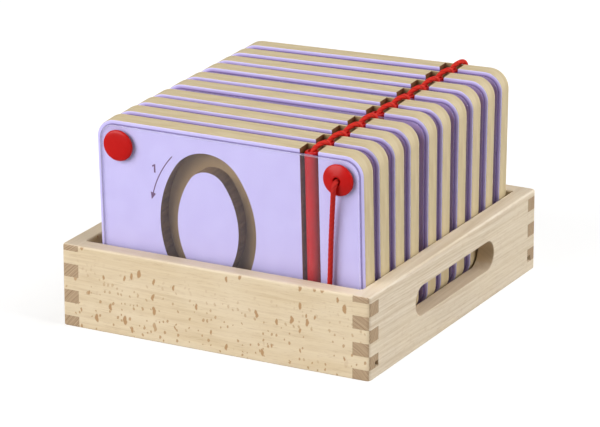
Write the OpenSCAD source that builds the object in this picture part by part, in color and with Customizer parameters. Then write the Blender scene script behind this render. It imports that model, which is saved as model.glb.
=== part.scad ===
// Magnetic drawing boards for the numerals 0 to 9, standing in a beech tray.
// Millimetres, +Z up. The origin is the centre of the tray's underside.
// The front of the tray faces -Y, and its handle slots are in the walls at -X and +X.

/* [Tray] */
// Width of the tray outside
tray_w = 221.5; // [221:0.5:232]
// Depth of the tray outside
tray_d = 241.5; // [241:0.5:260]
// Height of the tray walls
tray_h = 55.5; // [53:0.5:60]
// Thickness of the tray walls
wall_t = 12; // [10:0.5:12]
// Radius of the tray's upright corners
corner_r = 2.5; // [2:0.5:5]
// Rounding of the top edges of the walls
edge_r = 1.5; // [0.5:0.25:2]
// Height of one finger of the corner joints
finger_h = 8.8; // [8.2:0.1:9]
// Height of the lowest finger
low_finger_h = 7.2; // [6:0.1:7.4]

/* [Base panel] */
// Thickness of the base panel
base_t = 3.4; // [2.5:0.1:4]
// Height of the groove's floor above the table
groove_z = 7.6; // [7.4:0.1:8.5]
// Depth of the groove in the walls
groove_depth = 4.6; // [4.2:0.1:6]

/* [Handle slots] */
// Length of a handle slot
handle_l = 114; // [90:1:130]
// Height of a handle slot
handle_h = 20; // [18:0.5:24]
// Height of the slot's middle above the table
handle_z = 30.5; // [27:0.5:32]
// Rounding of the slot's edges
handle_edge_r = 0.5; // [0.5:0.5:3]

/* [Boards] */
// Width of a board
board_w = 188.5; // [186:0.5:189]
// Height of a board
board_h = 128.5; // [127:0.5:128.5]
// Radius of a board's corners
board_r = 13; // [10:0.5:16]
// Thickness of the front layer, which the grooves pass through
front_t = 11; // [10.8:0.1:11]
// Thickness of the back panel
back_t = 2.4; // [2:0.1:2.4]
// Rounding of the wood's outer edges
wood_edge_r = 1; // [0.6:0.1:1.4]
// Thickness of the clear cover
cover_t = 1.8; // [1.5:0.1:1.8]
// Distance from the cover's edge to the board's edge
cover_inset = 2.6; // [2:0.1:5]

/* [Numeral grooves] */
// Width of a groove
stroke_w = 12.6; // [11:0.1:13]
// Middle of the numerals, to the left of the board's middle
numeral_left = 16.2; // [14:0.1:18]
// Height of the lowest groove's middle line
numeral_low = 21.8; // [20.8:0.2:23]
// Diameter of the steel ball
ball_d = 9.5; // [8:0.1:9.6]

/* [Pens and cords] */
// Diameter of a pen
pen_d = 9.6; // [9:0.1:9.6]
// Width of the slot that holds the pen
pen_slot_w = 12.8; // [12:0.1:14]
// Diameter of a cord
cord_d = 3.4; // [3:0.1:3.4]

/* [Buttons] */
// Diameter of the two snap buttons
button_d = 20.8; // [18:0.1:22]
// Height of the button that the cord leaves, above the cover
cord_button_h = 3.4; // [3:0.1:3.4]
// Height of the plain button above the cover
plain_button_h = 2.6; // [2:0.1:2.6]

/* [Hidden] */
$fn = 64;
over = 1;
fit = 0.05;
arc_steps = 4;
// Where two curves of an outline meet, one runs this far under the other, so that they cross cleanly
lap = 0.02;

base_top = groove_z + base_t;
finger_count = 5;
tray_foot_r = 0.8;
inner_w = tray_w - 2 * wall_t;
inner_d = tray_d - 2 * wall_t;
// Play of the base panel in its groove, upwards and at each end
groove_play = 0.2;
panel_gap = 0.5;
panel_reach = groove_depth - panel_gap;

board_count = 10;
board_x = 3.8;
// Front face of each board at its bottom edge, from the tray's middle
board_y = [-101.2, -81.6, -61.6, -42.4, -18.4, 0.3, 22.6, 41.8, 61.5, 81.3];
// Degrees that each board leans towards the front
board_lean = [2.6, 1.8, 1.2, 0.5, 0, -0.4, -0.8, -1.2, -1.8, -2.2];
// Degrees that each board is turned, because the cords lie between the right ends
board_turn = [1, 1, 1.2, 1.8, 2.4, 2.7, 2.9, 3.8, 4.8, 5.4];
wood_t = front_t + back_t;
cover_back_r = 0.2;
cover_front_r = 0.5;

// A snap button: where it sits, its shank, and the length of the bore for it in the wood
button_x = 77.8;
button_z = 112.8;
shank_r = 4.2;
shank_l = 7;
shank_bore_l = shank_l + 0.5;
// The cord's bore through its button, the channel down to the rim, and the relief behind the channel
button_bore_r = 2.9;
channel_w = cord_d + 0.4;
relief_l = 1.2;

// The pen stands on its tip at this point of its slot
pen_x = 56.2;
pen_y = 5.2;
pen_z = 8.2;
pen_l = 118.3;
pen_tip_r = 3.4;
pen_tip_l = 10;
pen_top_r = 1.5;
cord_hole_r = 1.9;
cord_hole_l = 8;
cord_mouth_r = 3.1;
cord_mouth_l = 2;
magnet_d = 5;
magnet_l = 6;
pen_slot_x = 56.6;
pen_slot_z = 8;

// The notch at the bottom edge, where the cord passes under the board
notch_x = 65.5;
notch_w = 15;
notch_h = 6.8;

// The cord's route on every board, from the button's bore to the bore in the pen:
// out of the button, down the cover, under the board, up the back and over the top edge.
cord_start = [[77.8, 5, 112.8], [77.8, 0.4, 112.8], [77.8, -1.6, 112.3], [77.7, -3.1, 110.8]];
cord_front = [[77.5, -3.6, 108.8], [68.6, -3.6, 6.6]];
cord_under = [
    [68.4, -3.1, 4.6], [67.9, -1.6, 3.1], [67.2, 0.4, 2.6],
    [63.1, 11.3, 2.6], [62.4, 13.3, 3.1], [61.9, 14.8, 4.6]
];
cord_back = [[61.7, 15.3, 6.6], [63, 15.3, 127.4]];
cord_over = [
    [62.9, 14.7, 129.4], [62.3, 13, 130.4], [61.3, 11.5, 130.6], [60, 9.9, 130.2], [58.4, 7.9, 129],
    [57.1, 6.4, 127.6], [56.45, 5.55, 126], [56.2, 5.2, 124.4], [56.2, 5.2, 120]
];
// The channel in the cord's button follows the slant of the cord down the cover
channel_turn = atan2(cord_front[1][0] - cord_front[0][0], cord_front[0][2] - cord_front[1][2]);
cord_sides = 8;
run_steps = 10;
route = concat(
    cord_start, spread(cord_front[0], cord_front[1], run_steps),
    cord_under, spread(cord_back[0], cord_back[1], run_steps), cord_over
);

// The oval of the numeral 0, drawn with four arcs: its middle line's half sizes and its end arcs
oval_half_w = 28;
oval_half_h = 43.6;
oval_end_r = 20.8;
oval_end_z = oval_half_h - oval_end_r;
oval_side_r = (pow(oval_half_w, 2) + pow(oval_end_z, 2) - pow(oval_end_r, 2))
    / (2 * (oval_half_w - oval_end_r));
oval_side_x = oval_side_r - oval_half_w;
oval_turn = atan2(oval_end_z, oval_side_x);
// Height of the other numerals, from the lowest middle line to the highest
high = 87;
// Where each ball lies at rest: the lowest place of its groove, from the numeral's middle and foot
ball_place = [[0, 0], [6, 0], [26, 0], [-2, 0], [10, 0], [-2, 0], [0, 0], [-8, 0], [0, 0], [23, 0]];

beech = "#e3cda6";
plywood = "#cdbf99";
clear = [0.8, 0.76, 0.95, 0.35];
red = "#bd261b";
steel = "#b8bcc2";

TRAY_NODES = [
    "tray_front_wall", "tray_back_wall", "tray_left_wall", "tray_right_wall", "tray_base_panel"
];
FRONT_BOARD_NODES = [
    "board_0_core", "board_0_island", "board_0_back_panel", "board_0_cover",
    "board_0_plain_button", "board_0_cord_button", "board_0_pen_barrel", "board_0_pen_magnet",
    "board_0_ball", "board_0_cord"
];

// Points from a to b in equal steps, both ends included
function spread(a, b, steps) = [for (s = [0:steps]) a + (b - a) * s / steps];

// Points on an arc about c
function arc_points(c, r, from, to, steps) =
    [for (s = [0:steps]) let (a = from + (to - from) * s / steps) c + r * [cos(a), sin(a)]];

// Half section of a plate's rim, with its lower and upper edge rounded, or sharp where r is 0
function rim_section(reach, t, low_r, high_r) = concat(
    [[0, 0]],
    low_r == 0 ? [[reach, 0]] : arc_points([reach - low_r, low_r], low_r, -90, 0, arc_steps),
    high_r == 0 ? [[reach, t]] : arc_points([reach - high_r, t - high_r], high_r, 0, 90, arc_steps),
    [[0, t]]
);

// A flat plate with round corners and rounded edges, centred on the origin
module plate(w, d, t, r, low_r, high_r) {
    half_w = w / 2 - r;
    half_d = d / 2 - r;
    section = rim_section(r, t, low_r, high_r);
    translate([-half_w, -half_d, 0]) cube([2 * half_w, 2 * half_d, t]);
    for (turn = [0, 180]) rotate(turn) {
        translate([half_w, half_d, 0]) rotate([90, 0, 0]) linear_extrude(2 * half_d) polygon(section);
        translate([-half_w, half_d, 0]) rotate([90, 0, 90]) linear_extrude(2 * half_w) polygon(section);
        translate([half_w, half_d, 0]) rotate_extrude(angle = 90) polygon(section);
        translate([-half_w, half_d, 0]) rotate(90) rotate_extrude(angle = 90) polygon(section);
    }
}

// What a rounded edge loses along a length of X, on the corner towards -Y and +Z
module edge_waste(length, r) {
    difference() {
        translate([0, -over, -r]) cube([length, r + over, r + over]);
        translate([-over, r, -r]) rotate([0, 90, 0]) cylinder(r = r, h = length + 2 * over);
    }
}

// The corner joint's fingers, counted from the lowest: even ones belong to the side walls
function finger_low(f) = f == 0 ? -over : low_finger_h + (f - 1) * finger_h;
function finger_high(f) = f > finger_count ? tray_h + over : low_finger_h + f * finger_h;

// What a wall loses for its neighbour's fingers at the corner towards +X and -Y
module finger_cuts(fingers, x, y_end) {
    y = -tray_d / 2 - over;
    for (f = fingers) {
        height = finger_high(f) - finger_low(f);
        translate([x, y, finger_low(f)]) cube([wall_t + 2 * over, y_end - y, height]);
    }
}

module tray_block() {
    plate(tray_w, tray_d, tray_h, corner_r, tray_foot_r, edge_r);
}

// The groove for the base panel, open at the ends of the front and back walls
module panel_groove() {
    w = inner_w + 2 * groove_depth;
    d = inner_d + 2 * groove_depth;
    translate([-w / 2, -d / 2, groove_z]) cube([w, d, base_t + groove_play]);
}

// The wall at -Y: the side walls' fingers pass through its ends
module cross_wall() {
    color(beech) difference() {
        intersection() {
            tray_block();
            translate([-tray_w / 2, -tray_d / 2, 0]) cube([tray_w, wall_t, tray_h]);
        }
        for (side = [0, 1]) mirror([side, 0, 0]) finger_cuts([0:2:6], inner_w / 2, -inner_d / 2 + over);
        translate([-tray_w / 2 - over, -inner_d / 2 - groove_depth, groove_z])
            cube([tray_w + 2 * over, groove_depth + over, base_t + groove_play]);
        translate([inner_w / 2, -inner_d / 2, tray_h]) rotate(180) edge_waste(inner_w, edge_r);
    }
}

// The solid that is cut away for a handle slot, along X
module handle_cut() {
    r = handle_h / 2;
    e = handle_edge_r;
    section = concat(
        [[0, -over]], [[r + e, -over]],
        arc_points([r + e, e], e, 270, 180, arc_steps),
        arc_points([r + e, wall_t - e], e, 180, 90, arc_steps),
        [[r + e, wall_t + over]], [[0, wall_t + over]]
    );
    run = handle_l - handle_h;
    rotate([90, 0, 90]) {
        for (side = [0, 1]) mirror([side, 0, 0]) {
            translate([run / 2, 0, 0]) rotate_extrude() polygon(section);
        }
        for (side = [0, 1]) mirror([0, side, 0]) {
            translate([-run / 2, 0, 0]) rotate([90, 0, 90]) linear_extrude(run) polygon(section);
        }
    }
}

// The wall at +X: its fingers show on the tray's front and back
module side_wall() {
    color(beech) difference() {
        intersection() {
            tray_block();
            translate([inner_w / 2, -tray_d / 2, 0]) cube([wall_t, tray_d, tray_h]);
        }
        for (side = [0, 1]) mirror([0, side, 0]) finger_cuts([1:2:5], inner_w / 2 - over, -inner_d / 2);
        panel_groove();
        translate([inner_w / 2, 0, handle_z]) handle_cut();
        translate([inner_w / 2, inner_d / 2, tray_h]) rotate(-90) edge_waste(inner_d, edge_r);
    }
}

module base_panel() {
    w = inner_w + 2 * panel_reach;
    d = inner_d + 2 * panel_reach;
    color(plywood) translate([-w / 2, -d / 2, groove_z]) cube([w, d, base_t]);
}

// Puts a board that is drawn in its own frame into the tray.
// Its own frame: X to the right, Y from the wood's front face backwards, Z from its bottom edge.
// A board that leans back stands on the back edge of its bottom, and the frame's origin is above that.
module stand(i) {
    z = base_top + max(0, -wood_t * sin(board_lean[i]));
    translate([board_x, board_y[i], z]) rotate([board_lean[i], 0, board_turn[i]]) children();
}

// Stands up what is drawn flat with its front upwards, so that its back is at Y = y_back
module upright(y_back) {
    translate([0, y_back, 0]) rotate([90, 0, 0]) children();
}

// A slice of a disc about c
module pie(c, r, from, to) {
    intersection() {
        translate(c) circle(r);
        polygon(concat([c], arc_points(c, 2 * r, from, to, 12)));
    }
}

// A straight groove with round ends, seen from the front
module straight(a, b) {
    run = b - a;
    w = stroke_w - 4 * lap;
    translate(a) rotate(atan2(run[1], run[0])) translate([0, -w / 2]) square([norm(run), w]);
    for (end = [a, b]) translate(end) circle(stroke_w / 2 - lap);
}

// A groove along an arc, with round ends
module bend(c, r, from, to) {
    half_w = stroke_w / 2 - 2 * lap;
    difference() {
        pie(c, r + half_w, from, to);
        translate(c) circle(r - half_w);
    }
    for (a = [from, to]) translate(c + r * [cos(a), sin(a)]) circle(stroke_w / 2 - lap);
}

module loop(c, r) {
    translate(c) difference() {
        circle(r + stroke_w / 2);
        circle(r - stroke_w / 2);
    }
}

// The oval, grown or shrunk from its middle line. Each side's slice stops at the middle of the oval.
module oval(grow) {
    translate([0, oval_half_h]) for (half = [0, 180]) rotate(half) {
        intersection() {
            pie([oval_side_x, 0], oval_side_r + grow - lap, 180 - oval_turn, 180 + oval_turn);
            translate([-2 * oval_half_w, -oval_half_h]) square([2 * oval_half_w + lap, 2 * oval_half_h]);
        }
        pie([0, oval_end_z], oval_end_r + grow, oval_turn - 2, 182 - oval_turn);
    }
}

// The grooves of each numeral, standing on Y = 0
module numeral(n) {
    translate([-numeral_left, numeral_low]) {
        if (n == 0) difference() {
            oval(stroke_w / 2);
            oval(-stroke_w / 2);
        }
        if (n == 1) {
            straight([6, 0], [6, high]);
            straight([6, high], [-16, high - 20]);
        }
        if (n == 2) numeral_2();
        if (n == 3) {
            bend([-2, 66], 21, -90, 150);
            bend([-2, 22.5], 22.5, -150, 90);
        }
        if (n == 4) {
            straight([10, 0], [10, high]);
            straight([10, high], [-26, 25]);
            straight([-26, 25], [26, 25]);
        }
        if (n == 5) numeral_5();
        if (n == 6) {
            loop([0, 25], 25);
            bend([41, 25], 66, 110, 180);
        }
        if (n == 7) {
            straight([-26, high], [24, high]);
            straight([24, high], [-8, 0]);
        }
        if (n == 8) {
            loop([0, 23], 23);
            loop([0, 66.7], 20.3);
        }
        if (n == 9) {
            loop([-2, 62], 25);
            straight([23, 62], [23, 0]);
        }
    }
}

// The arc of the 2 runs straight into its slope, which ends where the foot begins
module numeral_2() {
    r = 24;
    top = [0, high - r];
    leave = -42;
    from = top + r * [cos(leave), sin(leave)];
    foot = [from[0] + tan(leave) * from[1], 0];
    bend(top, r, leave, 165);
    straight(from, foot);
    straight(foot, [26, 0]);
}

// The back of the 5 comes down to where its bowl begins
module numeral_5() {
    bowl = [-2, 26];
    r = 26;
    start = 135;
    from = bowl + r * [cos(start), sin(start)];
    bend(bowl, r, -145, start);
    straight([from[0], high], from);
    straight([from[0], high], [22, high]);
}

// The notch at the bottom edge that lets the cord pass under the board
module cord_notch() {
    translate([notch_x - notch_w / 2, -over]) square([notch_w, notch_h + over]);
}

// A board's layers are drawn flat, with the bottom edge along Y = 0
module flat_wood(t, low_r, high_r) {
    translate([0, board_h / 2, 0]) plate(board_w, board_h, t, board_r, low_r, high_r);
}

module button_holes(r) {
    for (x = [-button_x, button_x]) translate([x, button_z]) circle(r);
}

// The front layer before its numeral is cut: pen slot, cord notch and the buttons' bores
module front_layer() {
    difference() {
        flat_wood(front_t, 0, wood_edge_r);
        translate([0, 0, -over]) linear_extrude(front_t + 2 * over) {
            translate([pen_slot_x - pen_slot_w / 2, pen_slot_z]) square([pen_slot_w, board_h]);
            cord_notch();
        }
        translate([0, 0, front_t - shank_bore_l]) linear_extrude(shank_bore_l + over) {
            button_holes(shank_r + fit);
        }
    }
}

module core(n) {
    color(plywood) upright(front_t) difference() {
        front_layer();
        translate([0, 0, -over]) linear_extrude(front_t + 2 * over) numeral(n);
    }
}

// The front board's core and the loose oval inside its groove are pieces of their own
module board_0_core() {
    color(plywood) upright(front_t) difference() {
        front_layer();
        translate([-numeral_left, numeral_low, -over]) linear_extrude(front_t + 2 * over) {
            oval(stroke_w / 2);
        }
    }
}

module board_0_island() {
    color(plywood) upright(front_t) linear_extrude(front_t) translate([-numeral_left, numeral_low])
        oval(-stroke_w / 2);
}

// The glue line keeps the layers apart as separate solids
module back_panel() {
    color(plywood) upright(wood_t) difference() {
        flat_wood(back_t - fit, wood_edge_r, 0);
        translate([0, 0, -over]) linear_extrude(back_t + 2 * over) cord_notch();
    }
}

module cover() {
    w = board_w - 2 * cover_inset;
    h = board_h - 2 * cover_inset;
    color(clear) upright(-fit / 2) difference() {
        translate([0, board_h / 2, 0]) {
            plate(w, h, cover_t, board_r - cover_inset, cover_back_r, cover_front_r);
        }
        translate([0, 0, -over]) linear_extrude(cover_t + 2 * over) {
            cord_notch();
            button_holes(shank_r + fit);
        }
    }
}

// A snap button drawn flat: its dome stands on Z = 0 and its shank hangs below
module plain_button() {
    edge = 1;
    section = concat(
        [[0, -shank_l], [shank_r - 0.6, -shank_l], [shank_r, -shank_l + 0.8], [shank_r, 0]],
        [[button_d / 2 - 0.4, 0]],
        arc_points([button_d / 2 - edge, edge], edge, 0, 60, arc_steps),
        [for (s = [1:6]) dome_point(s / 6, plain_button_h, edge)]
    );
    rotate_extrude() polygon(section);
}

// A point of a shallow dome's section, from near the rim at 0 to the middle at 1
function dome_point(s, h, edge) =
    let (x = (button_d / 2 - edge) * (1 - s), rim_z = edge * 1.9)
    [x, rim_z + (h - rim_z) * (1 - pow(1 - s, 2))];

// The button that holds the cord: a cone with a bore, and a channel from the bore to the lower rim
module cord_button() {
    edge = 0.8;
    section = concat(
        [[button_bore_r, -shank_l], [shank_r - 0.4, -shank_l], [shank_r, -shank_l + 0.6], [shank_r, 0]],
        [[button_d / 2 - 0.3, 0]],
        arc_points([button_d / 2 - edge, edge], edge, -30, 65, arc_steps),
        [[button_bore_r + 0.7, cord_button_h - 0.1], [button_bore_r + 0.3, cord_button_h - 0.2]],
        [[button_bore_r, cord_button_h - 0.6]]
    );
    difference() {
        rotate_extrude() polygon(section);
        rotate(channel_turn) translate([-channel_w / 2, 0, 0]) {
            translate([0, -button_d, 0]) cube([channel_w, button_d, cord_button_h + over]);
            translate([0, -shank_r - over, -relief_l]) cube([channel_w, shank_r + over, relief_l + over]);
        }
    }
}

module put_button(x) {
    translate([x, -cover_t - fit, button_z]) rotate([90, 0, 0]) color(red) children();
}

// The pen, standing on its tip at the origin, bored for the magnet and for the cord's end
module pen_barrel() {
    r = pen_d / 2;
    section = concat(
        [[magnet_d / 2 + fit, 0], [pen_tip_r, 0], [pen_tip_r + 0.3, 0.3], [r, pen_tip_l]],
        arc_points([r - pen_top_r, pen_l - pen_top_r], pen_top_r, 0, 90, arc_steps),
        [[cord_mouth_r, pen_l], [cord_hole_r, pen_l - cord_mouth_l]],
        [[cord_hole_r, pen_l - cord_hole_l], [0, pen_l - cord_hole_l]],
        [[0, magnet_l + fit], [magnet_d / 2 + fit, magnet_l + fit]]
    );
    color(red) rotate_extrude() polygon(section);
}

module pen_magnet() {
    color(steel) translate([0, 0, 0.1]) cylinder(d = magnet_d, h = magnet_l - 0.1);
}

module put_pen() {
    translate([pen_x, pen_y, pen_z]) children();
}

module ball(n) {
    at = ball_place[n] + [-numeral_left, numeral_low];
    color(steel) translate([at[0], pen_y, at[1]]) sphere(d = ball_d);
}

// A round cord swept along points, with a ring of corners square to the path at each point
module cord() {
    last = len(route) - 1;
    rings = [
        for (i = [0:last])
            let (
                along = route[min(i + 1, last)] - route[max(i - 1, 0)],
                t = along / norm(along),
                side = [1, 0, 0] - t[0] * t,
                u = side / norm(side),
                v = cross(t, u)
            )
            for (j = [0:cord_sides - 1])
                let (a = 360 * j / cord_sides)
                route[i] + cord_d / 2 * (cos(a) * u + sin(a) * v)
    ];
    walls = [
        for (i = [0:last - 1], j = [0:cord_sides - 1])
            let (
                k = (j + 1) % cord_sides,
                a = i * cord_sides + j,
                b = i * cord_sides + k,
                c = a + cord_sides,
                d = b + cord_sides
            )
            each [[a, c, b], [b, c, d]]
    ];
    start_cap = [for (j = [0:cord_sides - 1]) j];
    end_cap = [for (j = [cord_sides - 1:-1:0]) last * cord_sides + j];
    color(red) polyhedron(rings, concat(walls, [start_cap, end_cap]));
}

module tether() {
    put_button(-button_x) plain_button();
    put_button(button_x) cord_button();
    cord();
}

cross_wall();  // tray_front_wall
rotate(180) cross_wall();  // tray_back_wall
rotate(180) side_wall();  // tray_left_wall
side_wall();  // tray_right_wall
base_panel();  // tray_base_panel

stand(0) board_0_core();
stand(0) board_0_island();
stand(0) back_panel();  // board_0_back_panel
stand(0) cover();  // board_0_cover
stand(0) put_button(-button_x) plain_button();  // board_0_plain_button
stand(0) put_button(button_x) cord_button();  // board_0_cord_button
stand(0) put_pen() pen_barrel();  // board_0_pen_barrel
stand(0) put_pen() pen_magnet();  // board_0_pen_magnet
stand(0) ball(0);  // board_0_ball
stand(0) cord();  // board_0_cord

for (i = [1:board_count - 1]) {
    stand(i) {
        core(i);
        back_panel();
    }
    stand(i) cover();
    stand(i) put_pen() {
        pen_barrel();
        pen_magnet();
    }
    stand(i) ball(i);
    stand(i) tether();
}
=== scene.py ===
from math import cos, pi, radians, sin

import bmesh
import bpy
from mathutils import Matrix, Vector


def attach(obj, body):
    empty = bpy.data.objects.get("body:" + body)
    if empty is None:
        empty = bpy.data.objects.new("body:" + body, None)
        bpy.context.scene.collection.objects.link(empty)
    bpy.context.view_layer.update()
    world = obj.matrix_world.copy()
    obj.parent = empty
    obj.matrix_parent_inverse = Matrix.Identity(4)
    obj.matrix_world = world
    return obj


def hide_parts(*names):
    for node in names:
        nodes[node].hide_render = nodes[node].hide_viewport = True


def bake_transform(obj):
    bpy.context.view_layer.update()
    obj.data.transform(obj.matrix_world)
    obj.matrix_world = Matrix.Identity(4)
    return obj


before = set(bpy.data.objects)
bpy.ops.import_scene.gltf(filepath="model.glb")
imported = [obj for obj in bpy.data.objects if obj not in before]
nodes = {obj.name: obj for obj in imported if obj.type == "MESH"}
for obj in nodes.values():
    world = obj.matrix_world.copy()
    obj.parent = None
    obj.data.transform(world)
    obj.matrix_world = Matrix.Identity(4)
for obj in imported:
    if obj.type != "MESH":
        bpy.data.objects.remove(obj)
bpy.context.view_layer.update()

MM = 0.001

# Where the boards' front faces stand in the tray, with their leans and turns in degrees
BOARD_X = 3.8
BOARD_Y = (-101.2, -81.6, -61.6, -42.4, -18.4, 0.3, 22.6, 41.8, 61.5, 81.3)
BOARD_LEAN = (2.6, 1.8, 1.2, 0.5, 0, -0.4, -0.8, -1.2, -1.8, -2.2)
BOARD_TURN = (1, 1, 1.2, 1.8, 2.4, 2.7, 2.9, 3.8, 4.8, 5.4)
BOARDS = range(len(BOARD_Y))
# Height of the tray's base, and thickness of a board without its cover
BASE_TOP = 11
WOOD_T = 13.4


def foot(i):
    """Where board i has the middle of its front bottom edge."""
    return BOARD_X, BOARD_Y[i], BASE_TOP + max(0, -WOOD_T * sin(radians(BOARD_LEAN[i])))


def stand(i):
    """Board i's own frame: X to the right, Y backwards from the wood's front face, Z up from its foot."""
    lean = Matrix.Rotation(radians(BOARD_LEAN[i]), 4, "X")
    turn = Matrix.Rotation(radians(BOARD_TURN[i]), 4, "Z")
    return Matrix.Translation(Vector(foot(i)) * MM) @ turn @ lean


# Camera, at the photograph's angle: its place in metres, its angles in degrees

CAMERA_PLACE = (1.1997, -2.24807, 0.92151)
CAMERA_AZIMUTH = 28.136
CAMERA_ELEVATION = 18.746
CAMERA_ROLL = -0.104
CAMERA_LENS = 247.67
CAMERA_SENSOR = 36


def add_camera():
    data = bpy.data.cameras.new("camera")
    data.lens = CAMERA_LENS
    data.sensor_width = CAMERA_SENSOR
    camera = bpy.data.objects.new("camera", data)
    bpy.context.collection.objects.link(camera)
    camera.matrix_world = (
        Matrix.Translation(CAMERA_PLACE)
        @ Matrix.Rotation(radians(CAMERA_AZIMUTH), 4, "Z")
        @ Matrix.Rotation(radians(90 - CAMERA_ELEVATION), 4, "X")
        @ Matrix.Rotation(radians(CAMERA_ROLL), 4, "Z")
    )
    bpy.context.scene.camera = camera


add_camera()

# Cords

CORD_D = 3.4
CORD_SIDES = 18
CORD_STEP = 0.9
ROUNDING_PASSES = 5
# The strands' number, the length of one twist, and the depth between them as a share of the radius
STRANDS = 3
STRAND_PITCH = 10
STRAND_DEPTH = 0.13

# The middle line of a cord on its board: out of the button's bore, down the cover, under the board,
# up the back, over the top edge and down into the bore of the pen
CORD_ROUTE = (
    (77.8, 5, 112.8), (77.8, 0.4, 112.8), (77.8, -1.6, 112.3), (77.7, -3.1, 110.8), (77.5, -3.6, 108.8),
    (68.6, -3.6, 6.6), (68.4, -3.1, 4.6), (67.9, -1.6, 3.1), (67.2, 0.4, 2.6), (63.1, 11.3, 2.6),
    (62.4, 13.3, 3.1), (61.9, 14.8, 4.6), (61.7, 15.3, 6.6), (63, 15.3, 127.4), (62.9, 14.7, 129.4),
    (62.3, 13, 130.4), (61.3, 11.5, 130.6), (60, 9.9, 130.2), (58.4, 7.9, 129), (57.1, 6.4, 127.6),
    (56.45, 5.55, 126), (56.2, 5.2, 124.4), (56.2, 5.2, 120),
)
# The front board has nothing before it, so its cord comes out over its button's face before it hangs down
FRONT_HANG = (
    (77.8, 5, 112.8), (77.75, 0.4, 112.8), (77.7, -3.4, 112.75), (77.55, -6.4, 112.2), (77.3, -7.6, 110.4),
    (76.95, -7.5, 108.2), (76.5, -7.1, 105.6), (76, -6.5, 103), (75.4, -5.7, 99.5), (74.6, -4.9, 94),
    (73.6, -4.3, 84), (72.4, -3.8, 68), (71.5, -3.6, 51), (68.6, -3.6, 6.6),
)
FRONT_ROUTE = FRONT_HANG + CORD_ROUTE[6:]
# Above this height on the board's back a cord's lower piece ends and its upper piece begins
PULL_FROM = (61.7, 15.3, 12)
# Depth on the board behind which a cord lies on its back
BACK_Y = 15


def cord_line(route):
    """The route in even short steps, with its corners rounded."""
    line = []
    for start, end in zip(route, route[1:]):
        start, end = Vector(start), Vector(end)
        steps = max(1, round((end - start).length / CORD_STEP))
        line += [start.lerp(end, step / steps) for step in range(steps)]
    line.append(Vector(route[-1]))
    for _ in range(ROUNDING_PASSES):
        line[1:-1] = [(a + 2 * b + c) / 4 for a, b, c in zip(line, line[1:], line[2:])]
    return line


def line_length(line):
    return sum((b - a).length for a, b in zip(line, line[1:]))


def strand_radius(angle, along):
    """The cord's radius at an angle round it, where three twisted strands make three humps."""
    hump = abs(cos(STRANDS / 2 * (angle - 2 * pi * along / STRAND_PITCH)))
    return CORD_D / 2 * (1 - STRAND_DEPTH * (1 - hump))


def cord_tube(name, line, along):
    """A mesh tube round a line, with a UV map: round the cord, and along it in millimetres."""
    tube = bmesh.new()
    uv = tube.loops.layers.uv.new("cord")
    rings = []
    lengths = []
    for index, point in enumerate(line):
        tangent = (line[min(index + 1, len(line) - 1)] - line[max(index - 1, 0)]).normalized()
        side = Vector((1, 0, 0))
        side = (side - side.dot(tangent) * tangent).normalized()
        other = tangent.cross(side)
        if index:
            along += (point - line[index - 1]).length
        ring = []
        for step in range(CORD_SIDES):
            angle = 2 * pi * step / CORD_SIDES
            radius = strand_radius(angle, along)
            offset = radius * (cos(angle) * side + sin(angle) * other)
            ring.append(tube.verts.new((point + offset) * MM))
        rings.append(ring)
        lengths.append(along)
    for low, high, low_v, high_v in zip(rings, rings[1:], lengths, lengths[1:]):
        for step in range(CORD_SIDES):
            after = (step + 1) % CORD_SIDES
            face = tube.faces.new((low[step], low[after], high[after], high[step]))
            face.smooth = True
            corners = ((step, low_v), (step + 1, low_v), (step + 1, high_v), (step, high_v))
            for loop, (turn, v) in zip(face.loops, corners):
                loop[uv].uv = (turn / CORD_SIDES, v)
    tube.faces.new(list(reversed(rings[0])))
    tube.faces.new(rings[-1])
    mesh = bpy.data.meshes.new(name)
    tube.to_mesh(mesh)
    tube.free()
    piece = bpy.data.objects.new(name, mesh)
    bpy.context.collection.objects.link(piece)
    return piece


def add_cord(i, line):
    """Board i's cord in two pieces: a lower part attached to the board, and an upper part on to the pen,
    left unattached.
    """
    place = stand(i)
    split = next(k for k, point in enumerate(line) if point.y > BACK_Y and point.z > PULL_FROM[2])
    world = [place @ (point * MM) for point in line]
    lower = cord_tube(f"board_{i}_cord_lower", line[: split + 1], 0)
    upper = cord_tube(f"board_{i}_cord_upper", line[split:], line_length(line[: split + 1]))
    for piece, path in ((lower, world[: split + 1]), (upper, world[split:])):
        piece.data.transform(place)
        line_length(path)
    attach(lower, f"board_{i}")
    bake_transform(upper)
    return [lower, upper]


cords = [add_cord(i, cord_line(CORD_ROUTE if i else FRONT_ROUTE)) for i in BOARDS]

# Snap buttons

BUTTON_X = 77.8
BUTTON_Z = 112.8
# The front of the covers, which the caps lie on
BUTTON_FRONT = -1.85
CHANNEL_W = 3.8
CHANNEL_SLANT = 5
CHANNEL_FLOOR = -1.2
# The tool that cuts the channel reaches out past the cap's rim and up past its face
CUTTER_REACH = 12
CUTTER_TOP = 6
SOFT_EDGE_W = 0.22
SOFT_EDGE_ANGLE = 40
PLAIN_STEPS = 48
PLAIN_SMOOTH_ANGLE = 40
BORED_STEPS = 64
BORED_SMOOTH_ANGLE = 35
SAME_POINT = 0.002

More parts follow.
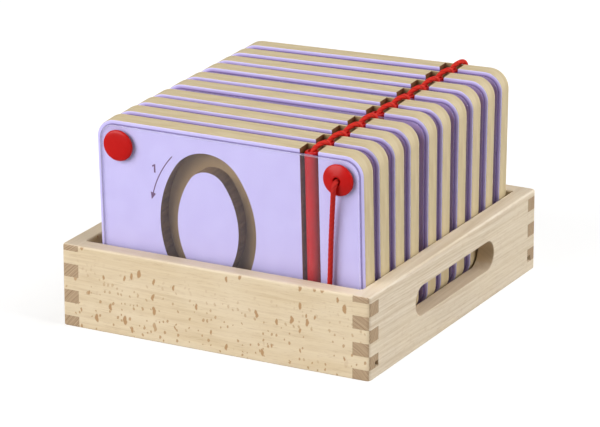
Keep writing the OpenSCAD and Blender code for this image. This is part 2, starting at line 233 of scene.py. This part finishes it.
# Radii and heights of the three kinds of button. The front board's cord leaves over the rim of its button's
# bore, and those of the others through a channel in the button's face.
PLAIN_BUTTON = (
    (0, -7), (3.6, -7), (4.2, -6.2), (4.2, 0), (10, 0), (10.3, 0.35), (10.4, 0.9), (10.2, 1.45), (9.6, 1.85),
    (8.4, 2.12), (6.4, 2.36), (3.6, 2.54), (0, 2.6),
)
FRONT_CORD_BUTTON = (
    (2.4, -7), (3.8, -7), (4.2, -6.4), (4.2, 0), (10, 0), (10.35, 0.35), (10.4, 0.8), (10.25, 1.25),
    (9.8, 1.6), (7, 2.45), (3.9, 3.3), (3.4, 3.38), (2.9, 3.36), (2.55, 3.15), (2.4, 2.75),
)
CORD_BUTTON = (
    (2.9, -7), (3.8, -7), (4.2, -6.4), (4.2, 0), (10, 0), (10.35, 0.35), (10.4, 0.8), (10.25, 1.25),
    (9.8, 1.6), (7, 2.45), (3.9, 3.3), (3.4, 3.38), (3.05, 3.2), (2.9, 2.8),
)


def deselect():
    """Object mode, with nothing selected."""
    if bpy.context.mode != "OBJECT":
        bpy.ops.object.mode_set(mode="OBJECT")
    bpy.ops.object.select_all(action="DESELECT")


def select_only(piece):
    deselect()
    bpy.context.view_layer.objects.active = piece
    piece.select_set(True)


def turned(name, outline, steps):
    """A piece turned round the Z axis from an outline of radii and heights."""
    deselect()
    bpy.ops.mesh.primitive_plane_add(size=MM)
    piece = bpy.context.object
    piece.name = piece.data.name = name
    bpy.ops.object.mode_set(mode="EDIT")
    bpy.ops.mesh.select_all(action="SELECT")
    bpy.ops.mesh.merge(type="CENTER")
    bpy.ops.transform.translate(value=(outline[0][0] * MM, 0, outline[0][1] * MM))
    for (x, z), (next_x, next_z) in zip(outline, outline[1:]):
        move = ((next_x - x) * MM, 0, (next_z - z) * MM)
        bpy.ops.mesh.extrude_region_move(TRANSFORM_OT_translate={"value": move})
    bpy.ops.mesh.select_all(action="SELECT")
    bpy.ops.mesh.spin(steps=steps, angle=2 * pi, center=(0, 0, 0), axis=(0, 0, 1))
    bpy.ops.mesh.select_all(action="SELECT")
    bpy.ops.mesh.remove_doubles(threshold=SAME_POINT * MM)
    bpy.ops.mesh.normals_make_consistent(inside=False)
    bpy.ops.object.mode_set(mode="OBJECT")
    return piece


plain_button = turned("plain_button", PLAIN_BUTTON, PLAIN_STEPS)
bpy.ops.object.shade_smooth_by_angle(angle=radians(PLAIN_SMOOTH_ANGLE))


def copy_to(pattern, name, place, body):
    """Another of a modelled piece, with a mesh of its own, set in its place for good."""
    piece = pattern.copy()
    piece.data = pattern.data.copy()
    piece.name = piece.data.name = name
    bpy.context.collection.objects.link(piece)
    piece.data.transform(place)
    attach(piece, body)
    return piece


def holed_button(name, outline):
    """A turned button with a bore through its middle."""
    piece = turned(name, outline, BORED_STEPS)
    select_only(piece)
    bpy.ops.object.mode_set(mode="EDIT")
    shell = bmesh.from_edit_mesh(piece.data)
    for edge in shell.edges:
        edge.select_set(edge.is_boundary)
    bpy.ops.mesh.bridge_edge_loops()
    bpy.ops.mesh.select_all(action="SELECT")
    bpy.ops.mesh.normals_make_consistent(inside=False)
    bpy.ops.object.mode_set(mode="OBJECT")
    bpy.ops.object.shade_smooth_by_angle(angle=radians(BORED_SMOOTH_ANGLE))
    return piece


def channelled_button(name):
    """A bored button with the slanting channel that the cord leaves through."""
    piece = holed_button(name, CORD_BUTTON)
    deselect()
    bpy.ops.mesh.primitive_cube_add(size=MM)
    cutter = bpy.context.object
    low = Vector((-CHANNEL_W / 2, -CUTTER_REACH, CHANNEL_FLOOR))
    high = Vector((CHANNEL_W / 2, 0, CUTTER_TOP))
    cutter.data.transform(Matrix.Translation((low + high) / 2 * MM) @ Matrix.Diagonal((*(high - low), 1)))
    cutter.data.transform(Matrix.Rotation(radians(-CHANNEL_SLANT), 4, "Z"))
    select_only(piece)
    cut = piece.modifiers.new("channel", "BOOLEAN")
    cut.object = cutter
    cut.solver = "EXACT"
    bpy.ops.object.modifier_apply(modifier=cut.name)
    soften = piece.modifiers.new("edges", "BEVEL")
    soften.width = SOFT_EDGE_W * MM
    soften.segments = 2
    soften.limit_method = "ANGLE"
    soften.angle_limit = radians(SOFT_EDGE_ANGLE)
    bpy.ops.object.modifier_apply(modifier=soften.name)
    bpy.data.objects.remove(cutter)
    bpy.ops.object.shade_smooth_by_angle(angle=radians(BORED_SMOOTH_ANGLE))
    return piece


front_cord_button = holed_button("front_cord_button", FRONT_CORD_BUTTON)
back_cord_button = channelled_button("back_cord_button")

buttons = []
face = Matrix.Rotation(radians(90), 4, "X")
for i in BOARDS:
    holder = back_cord_button if i else front_cord_button
    for kind, pattern, x in (("plain", plain_button, -BUTTON_X), ("cord", holder, BUTTON_X)):
        place = stand(i) @ Matrix.Translation(Vector((x, BUTTON_FRONT, BUTTON_Z)) * MM) @ face
        piece = copy_to(pattern, f"board_{i}_{kind}_button_cap", place, f"board_{i}")
        buttons.append(piece)
        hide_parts(f"board_0_{kind}_button" if i == 0 else f"board_{i}_tether")
for pattern in (plain_button, front_cord_button, back_cord_button):
    bpy.data.objects.remove(pattern)
for i, pair in enumerate(cords):
    for piece in pair:
        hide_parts("board_0_cord" if i == 0 else f"board_{i}_tether")

# Print on the paint: beside each numeral, arrows in the order of its strokes

# The ink's thickness, and the place of its back, a hair before the paint
PRINT_T = 0.04
PRINT_BACK = -0.005
LINE_W = 0.7
HEAD_W = 3.8
HEAD_L = 4.8
DIGIT_SIZE = 7.4
DIGIT_WEIGHT = 0.2
ARC_STEPS = 16
# Outline of the digit 1 about its middle
ONE = ((-0.5, -2.8), (0.6, -2.8), (0.6, 2.8), (-0.2, 2.8), (-1.7, 1.8), (-1.7, 0.8), (-0.5, 1.5))
# Where a numeral has its middle and its foot on the board
NUMERAL_AT = (-16.2, 21.8)


def arc(x, z, radius, start, end):
    """Points along an arc about a place, from one angle in degrees to another."""
    angles = [radians(start + (end - start) * step / ARC_STEPS) for step in range(ARC_STEPS + 1)]
    return [(x + radius * cos(angle), z + radius * sin(angle)) for angle in angles]


# Each arrow's board, its middle line, its digit and the digit's place, from the numeral's middle and foot
ARROWS = (
    (0, arc(22.9, 45.2, 63.8, 137.8, 165), "1", (-37.2, 78.3)),
    (1, ((-25, 71), (-12, 83)), "1", (-30, 68)),
    (2, arc(0, 63, 34, 158, 118), "1", (-34, 68)),
    (3, arc(-2, 66, 31, 145, 100), "1", (-31, 78)),
    (4, ((-1.6, 87), (-17, 60)), "1", (-4, 92)),
    (4, ((20, 84), (20, 60)), "2", (20, 90)),
    (5, ((-32, 80), (-32, 56)), "1", (-32, 86)),
    (5, ((-14, 97), (10, 97)), "2", (-20, 97)),
    (6, arc(41, 25, 76, 128, 148), "1", (-3, 89)),
    (7, ((-16, 97), (10, 97)), "1", (-22, 97)),
    (8, arc(0, 66.7, 31, 62, 105), "1", (19, 91)),
    (9, arc(-2, 62, 35, 60, 100), "1", (21, 89)),
)


def flat_shape(name, corners):
    """A flat piece in the XY plane from the corners of its outline."""
    flat = bmesh.new()
    flat.faces.new([flat.verts.new((x * MM, y * MM, 0)) for x, y in corners])
    mesh = bpy.data.meshes.new(name)
    flat.to_mesh(mesh)
    flat.free()
    piece = bpy.data.objects.new(name, mesh)
    bpy.context.collection.objects.link(piece)
    return piece


def arrow(path):
    """A flat arrow along a path, drawn in the XY plane."""
    points = [Vector(point) for point in path]
    steps = [(b - a).normalized() for a, b in zip(points, points[1:])]
    steps.append(steps[-1])
    sides = [Vector((-step.y, step.x)) for step in steps]
    left = [point + side * LINE_W / 2 for point, side in zip(points, sides)]
    right = [point - side * LINE_W / 2 for point, side in zip(points, sides)]
    head = [
        points[-1] - sides[-1] * HEAD_W / 2,
        points[-1] + steps[-1] * HEAD_L,
        points[-1] + sides[-1] * HEAD_W / 2,
    ]
    return flat_shape("arrow", right + head + left[::-1])


def digit(text, place):
    """A flat digit, centred on a place in the XY plane; the 1 has a plain outline of its own."""
    if text == "1":
        return flat_shape("one", [(place[0] + x, place[1] + y) for x, y in ONE])
    deselect()
    bpy.ops.object.text_add(location=(place[0] * MM, place[1] * MM, 0))
    bpy.context.object.data.body = text
    bpy.context.object.data.size = DIGIT_SIZE * MM
    bpy.context.object.data.offset = DIGIT_WEIGHT * MM
    bpy.context.object.data.align_x = "CENTER"
    bpy.context.object.data.align_y = "CENTER"
    bpy.ops.object.convert(target="MESH")
    bpy.ops.object.transform_apply()
    return bpy.context.object


def add_print(i):
    """All that is printed on board i, as one thin layer of ink."""
    flat = []
    for board, path, text, place in ARROWS:
        if board == i:
            flat += [arrow(path), digit(text, place)]
    deselect()
    for part in flat:
        part.select_set(True)
    piece = flat[0]
    bpy.context.view_layer.objects.active = piece
    bpy.ops.object.join()
    piece.name = piece.data.name = f"board_{i}_print"
    layer = piece.modifiers.new("ink", "SOLIDIFY")
    layer.thickness = PRINT_T * MM
    layer.offset = 1
    bpy.ops.object.modifier_apply(modifier=layer.name)
    front = Matrix.Translation(Vector((NUMERAL_AT[0], PRINT_BACK, NUMERAL_AT[1])) * MM)
    piece.data.transform(stand(i) @ front @ Matrix.Rotation(radians(90), 4, "X"))
    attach(piece, f"board_{i}")
    return piece


prints = [add_print(i) for i in BOARDS]

# Finishes: masks run from 0 to 1, and places, depths and the outlines below are in millimetres

# Half width, half height, height of the middle and radius of the corners
BOARD_OUTLINE = (94.25, 64.25, 64.25, 13)
COVER_OUTLINE = (91.65, 61.65, 64.25, 10.4)
COVER_INSET = 2.6
# A cut in a board goes through its front layer, down to the back layer's face a hair behind this depth
FRONT_T = 11
# The pen's slot, a hair wider than it is cut, and the height from which its walls are brownest
PEN_SLOT_LEFT = 50
PEN_SLOT_RIGHT = 63.2
PEN_SLOT_FOOT = 7.6
PEN_SLOT_BURNT = 122
# A handle slot lies within this of its wall's middle, and below this height
HANDLE_REACH = 66
HANDLE_BELOW = 45
# Length of cord from its button's bore down to near the board's foot
HANG_L = 104


def srgb(red, green, blue):
    """A colour from three numbers up to 255, made linear for a socket."""
    linear = [((c / 255 + 0.055) / 1.055) ** 2.4 if c > 10 else c / 255 / 12.92 for c in (red, green, blue)]
    return (*linear, 1)


class Value:
    """A socket that Python's arithmetic works on: each sum adds a Math node to its tree."""

    def __init__(self, graph, socket):
        self.graph = graph
        self.socket = socket

    def maths(self, operation, *others):
        return self.graph.node("ShaderNodeMath", dict(enumerate((self, *others))), operation=operation)

    def __add__(self, other):
        return self.maths("ADD", other)

    __radd__ = __add__

    def __mul__(self, other):
        return self.maths("MULTIPLY", other)

    __rmul__ = __mul__

    def __sub__(self, other):
        return self.maths("SUBTRACT", other)

    def __rsub__(self, other):
        return self.graph.node("ShaderNodeMath", {0: other, 1: self}, operation="SUBTRACT")

    def __pow__(self, other):
        return self.maths("POWER", other)

    def __abs__(self):
        return self.maths("ABSOLUTE")

    def most(self, other):
        """The larger of the two."""
        return self.maths("MAXIMUM", other)

    def rise(self, start, end):
        """0 up to start and 1 from end on, smoothly between; it falls where start is above end."""
        inputs = {"Value": self, "From Min": start, "From Max": end}
        return self.graph.node("ShaderNodeMapRange", inputs, interpolation_type="SMOOTHSTEP")

    def between(self, low, high, soft):
        """1 from low to high and 0 outside, over a soft step at each."""
        return self.rise(low - soft, low) * self.rise(high + soft, high)


class Graph:
    """A node tree, filled from Python."""

    def __init__(self, tree):
        self.tree = tree

    def node(self, kind, inputs, output=0, **settings):
        node = self.tree.nodes.new(kind)
        for name, value in settings.items():
            setattr(node, name, value)
        for name, value in inputs.items():
            self.feed(node.inputs[name], value)
        return Value(self, node.outputs[output])

    def feed(self, socket, value):
        if isinstance(value, Value):
            self.tree.links.new(value.socket, socket)
        else:
            socket.default_value = value

    def mix(self, mask, first, second):
        """The first colour where the mask is 0, the second where it is 1."""
        return self.node("ShaderNodeMix", {0: mask, 6: first, 7: second}, 2, data_type="RGBA")


class Finish(Graph):
    """A material and its Principled shader."""

    def __init__(self, name):
        self.material = bpy.data.materials.new(name)
        self.material.use_nodes = True
        super().__init__(self.material.node_tree)
        self.shader = self.tree.nodes["Principled BSDF"]

    def place(self, origin=(0, 0, 0), turn=(0, 0, 0)):
        """The place on the piece in millimetres, in a frame with that origin and turn."""
        inputs = {
            "Vector": self.node("ShaderNodeTexCoord", {}, "Object"),
            "Location": [c * MM for c in origin],
            "Rotation": turn,
            "Scale": (MM, MM, MM),
        }
        return self.node("ShaderNodeMapping", inputs, vector_type="TEXTURE")

    def on_board(self, i):
        """The place on the piece in board i's own frame."""
        return self.place(foot(i), (radians(BOARD_LEAN[i]), 0, radians(BOARD_TURN[i])))

    def axes(self, vector):
        """The three parts of a vector."""
        first = self.node("ShaderNodeSeparateXYZ", {0: vector})
        return [Value(self, socket) for socket in first.socket.node.outputs]

    def spots(self, vector, stretch, size, share, dimensions="3D"):
        """Round spots in a share of the cells; stretch gives the cells per millimetre along each axis."""
        scaled = self.node("ShaderNodeVectorMath", {0: vector, 1: stretch}, operation="MULTIPLY")
        inputs = {"Vector": scaled, "Scale": 1}
        distance = self.node("ShaderNodeTexVoronoi", inputs, "Distance", voronoi_dimensions=dimensions)
        chance, shade, _ = self.axes(Value(self, distance.socket.node.outputs["Color"]))
        reach = size * (0.55 + shade * 0.6)
        return (reach - distance).rise(0, size * 0.35) * chance.rise(share + 0.02, share - 0.02)

    def inwards(self, x, z, half_w, half_h, middle_z, r):
        """Millimetres in from a round-cornered outline, counted up to its corner radius."""
        out_x = (abs(x) - (half_w - r)).most(0)
        out_z = (abs(z - middle_z) - (half_h - r)).most(0)
        return r - (out_x ** 2 + out_z ** 2) ** 0.5

    def vector(self, x, y, z):
        return self.node("ShaderNodeCombineXYZ", {0: x, 1: y, 2: z})

    def noise(self, vector, stretch, detail=3, roughness=0.5):
        """Noise from 0 to 1; stretch gives its waves per millimetre along each axis."""
        scaled = self.node("ShaderNodeVectorMath", {0: vector, 1: stretch}, operation="MULTIPLY")
        inputs = {"Vector": scaled, "Scale": 1, "Detail": detail, "Roughness": roughness}
        return self.node("ShaderNodeTexNoise", inputs)

    def bump(self, height, depth):
        """Relief of that depth in millimetres, from a height between 0 and 1."""
        return self.node("ShaderNodeBump", {"Height": height, "Distance": depth * MM}, "Normal")

    def finish(self, **sockets):
        """Feeds the shader: Base_Color stands for its Base Color, and so on."""
        for name, value in sockets.items():
            self.feed(self.shader.inputs[name.replace("_", " ")], value)
        return self.material


def beech(name, grain_axis, pith, slope, flecks):
    """Beech of a tray wall, with its grain along X or Y and its rings round the pith, a place across it.

    Flecks is how much of the rays' brown marks its upright faces show. The rounded ends of the handle slots
    are paler than other end grain, and their level faces are browner than the rim. All level faces are
    made lighter, as painted light from above.
    """
    wood = Finish(name)
    place = wood.place(turn=(0, 0, radians(90 * grain_axis)))
    along, across, up = wood.axes(place)
    normal = wood.axes(wood.node("ShaderNodeTexCoord", {}, "Normal"))
    end_grain = abs(normal[grain_axis]).rise(0.6, 0.8)
    level = abs(normal[2]).rise(0.4, 0.7)
    warp = wood.noise(place, (0.008, 0.03, 0.03), 2)
    rings = ((across - pith[0]) ** 2 + (up - pith[1] + along * slope) ** 2) ** 0.5 + warp * 5
    ring = wood.noise(wood.vector(rings, 0, 0), (0.42, 1, 1), 4, 0.6)
    fibre = wood.noise(place, (0.03, 0.75, 0.75), 5, 0.65)
    pore = wood.noise(place, (0.13, 1.9, 1.9), 3, 0.6)
    cloud = wood.noise(place, (0.018, 0.05, 0.05), 2)
    early = wood.mix(flecks, srgb(233, 220, 200), srgb(226, 207, 174))
    late = wood.mix(flecks, srgb(206, 188, 160), srgb(216, 194, 157))
    colour = wood.mix(ring.rise(0.38, 0.66), early, late)
    colour = wood.mix(fibre.rise(0.42, 0.7) * 0.42, colour, srgb(199, 173, 136))
    colour = wood.mix(cloud.rise(0.35, 0.7) * 0.4, colour, srgb(234, 218, 190))
    colour = wood.mix(pore.rise(0.56, 0.7) * 0.35, colour, srgb(182, 150, 110))
    # Painted light: level faces are made lighter, as if lit from above.
    colour = wood.mix(level * 0.3, colour, srgb(238, 222, 200))
    shift = wood.noise(place, (0.05, 0.2, 0.2), 2) * 4
    flat = wood.vector(along + shift, up, 0)
    large = wood.spots(flat, (0.19, 0.085, 1), 0.29, 0.26, "2D")
    small = wood.spots(flat, (0.32, 0.24, 1), 0.31, 0.32, "2D") * up.rise(54, 14)
    fleck = large.most(small * 0.85) * (1 - end_grain) * (1 - level) * flecks
    colour = wood.mix(fleck * 0.9, colour, srgb(176, 134, 88))
    streak = wood.noise(wood.vector(rings, 0, 0), (1.4, 1, 1), 3, 0.65)
    end_colour = wood.mix(streak.rise(0.38, 0.62), srgb(196, 171, 139), srgb(146, 117, 86))
    slotted = abs(along).rise(HANDLE_REACH + 6, HANDLE_REACH)
    end_colour = wood.mix(slotted * 0.7, end_colour, srgb(218, 194, 160))
    lip = level * slotted * up.rise(HANDLE_BELOW + 5, HANDLE_BELOW)
    colour = wood.mix(lip * 0.25, colour, srgb(150, 112, 72))
    colour = wood.mix(end_grain, colour, end_colour)
    grain_height = fibre * 0.5 + pore * 0.4 - fleck * 0.3
    return wood.finish(
        Base_Color=colour,
        Roughness=0.5 + ring * 0.14 + end_grain * 0.1,
        Normal=wood.bump(grain_height, 0.1),
    )


def plywood(name):
    """The base panel's birch plywood: a long figure on its faces and thin plies at its edges."""
    wood = Finish(name)
    place = wood.place()
    figure = wood.noise(place, (0.02, 0.35, 1.2), 4, 0.6)
    pore = wood.noise(place, (0.1, 4, 4), 2)
    colour = wood.mix(figure.rise(0.35, 0.7), srgb(216, 196, 160), srgb(192, 166, 126))
    colour = wood.mix(pore.rise(0.58, 0.7) * 0.3, colour, srgb(160, 130, 92))
    return wood.finish(Base_Color=colour, Roughness=0.5 + figure * 0.2, Normal=wood.bump(pore, 0.08))


def painted_wood(name, i):
    """A board's wood: lavender paint on its front, scorched walls where the grooves are cut, bare elsewhere.

    On the boards behind the first the paint is deeper along the outline, as painted shade for the gaps
    between the boards.
    A dark line just outside the cover's edge is a painted shadow, and the scorched walls darken deeper in as
    painted shade.
    """
    wood = Finish(name)
    place = wood.on_board(i)
    x, y, z = wood.axes(place)
    blotch = wood.noise(place, (0.045, 0.16, 0.045), 3, 0.55)
    streak = wood.noise(place, (0.02, 0.5, 0.02), 3, 0.5)
    fibre = wood.noise(place, (0.09, 1.3, 0.09), 4, 0.65)
    bare = wood.mix(blotch.rise(0.3, 0.7), srgb(197, 179, 140), srgb(209, 192, 155))
    bare = wood.mix(streak.rise(0.45, 0.72) * 0.45, bare, srgb(190, 167, 128))
    bare = wood.mix(fibre.rise(0.5, 0.72) * 0.34, bare, srgb(182, 157, 116))
    mark = wood.spots(place, (0.03, 0.11, 0.03), 0.05, 0.35)
    bare = wood.mix(mark * 0.6, bare, srgb(182, 152, 112))
    in_slot = x.between(PEN_SLOT_LEFT, PEN_SLOT_RIGHT, 0.1) * z.rise(PEN_SLOT_FOOT, PEN_SLOT_FOOT + 0.2)
    rim = wood.inwards(x, z, *BOARD_OUTLINE)
    deep = rim.rise(1.4, 1.7).most(in_slot)
    cut = deep * y.rise(FRONT_T + 0.03, FRONT_T + 0.02)
    smoke = wood.noise(place, (0.5, 0.06, 0.5), 3, 0.6)
    # The walls are scorched, and their darkening deeper into the cut is painted shade.
    scorched = wood.mix(y.rise(1, 9.5), srgb(146, 118, 84), srgb(130, 102, 62))
    scorched = wood.mix(smoke.rise(0.35, 0.7) * 0.6, scorched, srgb(92, 68, 42))
    scorched = wood.mix(in_slot * z.rise(PEN_SLOT_BURNT - 10, PEN_SLOT_BURNT), scorched, srgb(96, 52, 4))
    floor = y.between(FRONT_T + 0.03, FRONT_T + 0.1, 0.01) * deep
    figure = wood.noise(place, (0.6, 0.1, 0.05), 3)
    floor_colour = wood.mix(figure, srgb(172, 144, 102), srgb(154, 127, 87))
    colour = wood.mix(cut, bare, scorched)
    colour = wood.mix(floor, colour, floor_colour)
    mottle = wood.noise(place, (0.06, 0.06, 0.06), 3, 0.6)
    paint = wood.mix(mottle.rise(0.3, 0.7), srgb(208, 200, 250), srgb(203, 194, 246))
    # Painted shade: on the boards behind the first, the paint is deeper purple within about 12 mm of the
    # outline, for the shade in the gaps between the boards.
    if i:
        paint = wood.mix(rim.rise(0.8, 2.4) * rim.rise(12.5, 4), paint, srgb(185, 161, 232))
    # Painted shadow: a dark line on the paint along the cover's edge.
    cover_edge_shadow = rim.between(COVER_INSET - 0.35, COVER_INSET + 0.15, 0.15)
    paint = wood.mix(cover_edge_shadow * 0.7, paint, srgb(128, 116, 166))
    edge_noise = wood.noise(place, (0.3, 0.3, 0.3), 2)
    painted = (y + edge_noise * 0.3).rise(0.62, 0.5) * (1 - cut * y.rise(0.12, 0.2))
    colour = wood.mix(painted, colour, paint)
    skin = wood.noise(place, (0.7, 0.7, 0.7), 3)
    height = (fibre * 0.6 + streak * 0.4) * (1 - painted) + skin * painted * 0.3
    return wood.finish(
        Base_Color=colour,
        Roughness=0.62 - painted * 0.14 + fibre * 0.1,
        Normal=wood.bump(height, 0.1),
    )


def clear_cover(name, i, highlight_strength):
    """The clear sheet over a board: nearly nothing in its middle, and its cut edge painted dark as painted
    shade.

    The last argument is how strongly a painted highlight, a bright line just inside that edge, shows.
    """
    sheet = Finish(name)
    place = sheet.on_board(i)
    x, _, z = sheet.axes(place)
    edge = sheet.inwards(x, z, *COVER_OUTLINE)
    # Painted highlight: a bright line just inside the sheet's edge.
    line = edge.between(0.3, 0.8, 0.25)
    normal = sheet.axes(sheet.node("ShaderNodeTexCoord", {}, "Normal"))
    # Painted shade: the sheet's cut edge gets a dark purple colour and more opacity, for the shade between
    # the boards.
    cut = abs(normal[1]).rise(0.6, 0.4)
    haze = sheet.noise(place, (0.05, 0.05, 0.05), 3)
    scuff = sheet.noise(place, (0.9, 0.9, 0.12), 3, 0.7)
    face = sheet.mix(line, srgb(226, 222, 238), srgb(236, 231, 255))
    return sheet.finish(
        Base_Color=sheet.mix(cut, face, srgb(112, 92, 156)),
        Alpha=(0.03 + haze * 0.02 + line * highlight_strength).most(cut * 0.6),
        Roughness=0.06 + scuff.rise(0.5, 0.8) * 0.16,
        Normal=sheet.bump(haze, 0.05),
    )


def red_plastic(name, colour, shade):
    """Moulded plastic with a soft gloss, and the faint swirls and dimples of its mould."""
    plastic = Finish(name)
    place = plastic.place()
    swirl = plastic.noise(place, (0.06, 0.06, 0.06), 4, 0.6)
    dimple = plastic.noise(place, (1.2, 1.2, 1.2), 2)
    return plastic.finish(
        Base_Color=plastic.mix(swirl.rise(0.35, 0.7), colour, shade),
        Roughness=0.26 + dimple * 0.12,
        Specular_IOR_Level=0.22,
        Normal=plastic.bump(dimple, 0.02),
    )


def cord_finish(name):
    """Soft red cord: fine fibres that follow its twist, on its own UV map, painted shade in the creases
    between its strands, and painted shade on the stretch that hangs down the front.
    """
    cord = Finish(name)
    round_it, along, _ = cord.axes(cord.node("ShaderNodeTexCoord", {}, "UV"))
    twist = round_it - along * (1 / STRAND_PITCH)
    strand = abs((twist * (STRANDS * pi)).maths("COSINE"))
    fibre = cord.noise(cord.vector(twist * 24, along * 0.5, 0), (1, 1, 1), 3, 0.6)
    # Painted shade: darker red in the creases between the strands.
    colour = cord.mix(strand.rise(0, 0.5), srgb(150, 10, 10), srgb(207, 36, 22))
    colour = cord.mix(fibre.rise(0.45, 0.75) * 0.4, colour, srgb(224, 68, 46))
    # Painted shade: the first stretch of cord, hanging down the board's front, is darker.
    colour = cord.mix(along.rise(HANG_L + 8, HANG_L) * 0.35, colour, srgb(138, 8, 18))
    return cord.finish(
        Base_Color=colour,
        Roughness=0.6 + fibre * 0.2,
        Specular_IOR_Level=0.25,
        Normal=cord.bump(fibre, 0.1),
    )


def steel_finish(name, colour, roughness):
    """Polished or plated metal with faint scratches."""
    metal = Finish(name)
    place = metal.place()
    scratch = metal.noise(place, (3, 3, 0.3), 4, 0.7)
    cloud = metal.noise(place, (0.4, 0.4, 0.4), 3)
    return metal.finish(
        Base_Color=metal.mix(cloud, colour, srgb(150, 152, 158)),
        Metallic=1,
        Roughness=roughness + scratch.rise(0.55, 0.75) * 0.16,
        Normal=metal.bump(scratch, 0.01),
    )


def ink(name):
    """Mauve printing ink, a little uneven."""
    mauve = Finish(name)
    grain = mauve.noise(mauve.place(), (1.5, 1.5, 1.5), 3)
    colour = mauve.mix(grain, srgb(92, 66, 108), srgb(120, 82, 118))
    return mauve.finish(Base_Color=colour, Roughness=0.5 + grain * 0.2)


def dress(piece, material):
    """Gives all of a piece one material."""
    if not piece.material_slots:
        piece.data.materials.append(material)
    for slot in piece.material_slots:
        slot.material = material


dress(nodes["tray_front_wall"], beech("beech_front", 0, (46, -70), 0.02, 1))
dress(nodes["tray_back_wall"], beech("beech_back", 0, (-40, 95), -0.02, 0.7))
dress(nodes["tray_left_wall"], beech("beech_left", 1, (20, -60), 0.03, 0.9))
dress(nodes["tray_right_wall"], beech("beech_right", 1, (-50, -60), 0.03, 0.1))
dress(nodes["tray_base_panel"], plywood("base_plywood"))

pen_red = red_plastic("pen_red", srgb(201, 16, 18), srgb(189, 12, 15))
button_red = red_plastic("button_red", srgb(194, 12, 6), srgb(182, 9, 5))
cord_red = cord_finish("cord_red")
ball_steel = steel_finish("ball_steel", srgb(206, 208, 212), 0.1)
magnet_plate = steel_finish("magnet_plate", srgb(190, 188, 180), 0.24)
print_mauve = ink("print_mauve")

for i in BOARDS:
    wood = painted_wood(f"board_{i}_paint", i)
    cover = clear_cover(f"board_{i}_clear", i, 0.1 if i else 0.22)
    dress(nodes[f"board_{i}_cover"], cover)
    dress(nodes[f"board_{i}_ball"], ball_steel)
    for part in ("core", "island", "back_panel") if i == 0 else ("body",):
        dress(nodes[f"board_{i}_{part}"], wood)
    if i == 0:
        dress(nodes["board_0_pen_barrel"], pen_red)
        dress(nodes["board_0_pen_magnet"], magnet_plate)
    else:
        dress(nodes[f"board_{i}_pen"], pen_red)
    for piece in cords[i]:
        dress(piece, cord_red)
    dress(prints[i], print_mauve)
for piece in buttons:
    dress(piece, button_red)

# Studio, in metres

FLOOR_SIZE = 40
FLOOR_GREY = 0.55
FLOOR_GLOW = 0.6
SKY_LIGHT = 0.12
TRAY_MIDDLE = (0, 0, 0.06)
BOARD_TOPS = (0, 0, 0.1)
# Each lamp's name, place, what it faces, side and power in watts
LAMPS = (
    ("key", (-1.15, -2.05, 1.15), TRAY_MIDDLE, 2, 66),
    ("right_fill", (2.3, 0.15, 1.2), TRAY_MIDDLE, 1.2, 28),
    ("top", (0.9, 0.2, 2.2), BOARD_TOPS, 1, 14),
    ("back", (1.2, 2.1, 1), TRAY_MIDDLE, 1.2, 20),
)


def add_floor():
    """A matt floor that keeps the shadow; for the camera alone it glows, so that it is white elsewhere."""
    deselect()
    bpy.ops.mesh.primitive_plane_add(size=FLOOR_SIZE)
    floor = bpy.context.object
    floor.name = "floor"
    white = Finish("floor_white")
    camera_ray = white.node("ShaderNodeLightPath", {}, "Is Camera Ray")
    glow = white.node("ShaderNodeEmission", {"Color": camera_ray, "Strength": FLOOR_GLOW})
    matt = white.node("ShaderNodeBsdfDiffuse", {"Color": (FLOOR_GREY, FLOOR_GREY, FLOOR_GREY, 1)})
    seen = white.node("ShaderNodeAddShader", {0: matt, 1: glow})
    white.tree.links.new(seen.socket, white.tree.nodes["Material Output"].inputs["Surface"])
    floor.data.materials.append(white.material)


def add_world():
    """White where the camera, a reflection or a clear piece sees it, and a plain soft light otherwise."""
    world = bpy.data.worlds.new("studio")
    bpy.context.scene.world = world
    world.use_nodes = True
    sky = Graph(world.node_tree)
    rays = ("Camera", "Glossy", "Transmission")
    camera, glossy, transmission = (sky.node("ShaderNodeLightPath", {}, f"Is {ray} Ray") for ray in rays)
    seen = camera.most(glossy).most(transmission)
    strength = SKY_LIGHT + seen * (1 - SKY_LIGHT)
    sky.feed(world.node_tree.nodes["Background"].inputs["Strength"], strength)
    sky.feed(world.node_tree.nodes["Background"].inputs["Color"], (1, 1, 1, 1))


def add_lamp(name, place, target, size, power):
    """A square lamp that faces its target."""
    lamp = bpy.data.lights.new(name, "AREA")
    lamp.shape = "SQUARE"
    lamp.size = size
    lamp.energy = power
    holder = bpy.data.objects.new(name, lamp)
    bpy.context.collection.objects.link(holder)
    holder.location = place
    holder.rotation_euler = (Vector(target) - Vector(place)).to_track_quat("-Z", "Y").to_euler()


add_floor()
add_world()
for lamp in LAMPS:
    add_lamp(*lamp)

view = bpy.context.scene.view_settings
view.view_transform = "Standard"
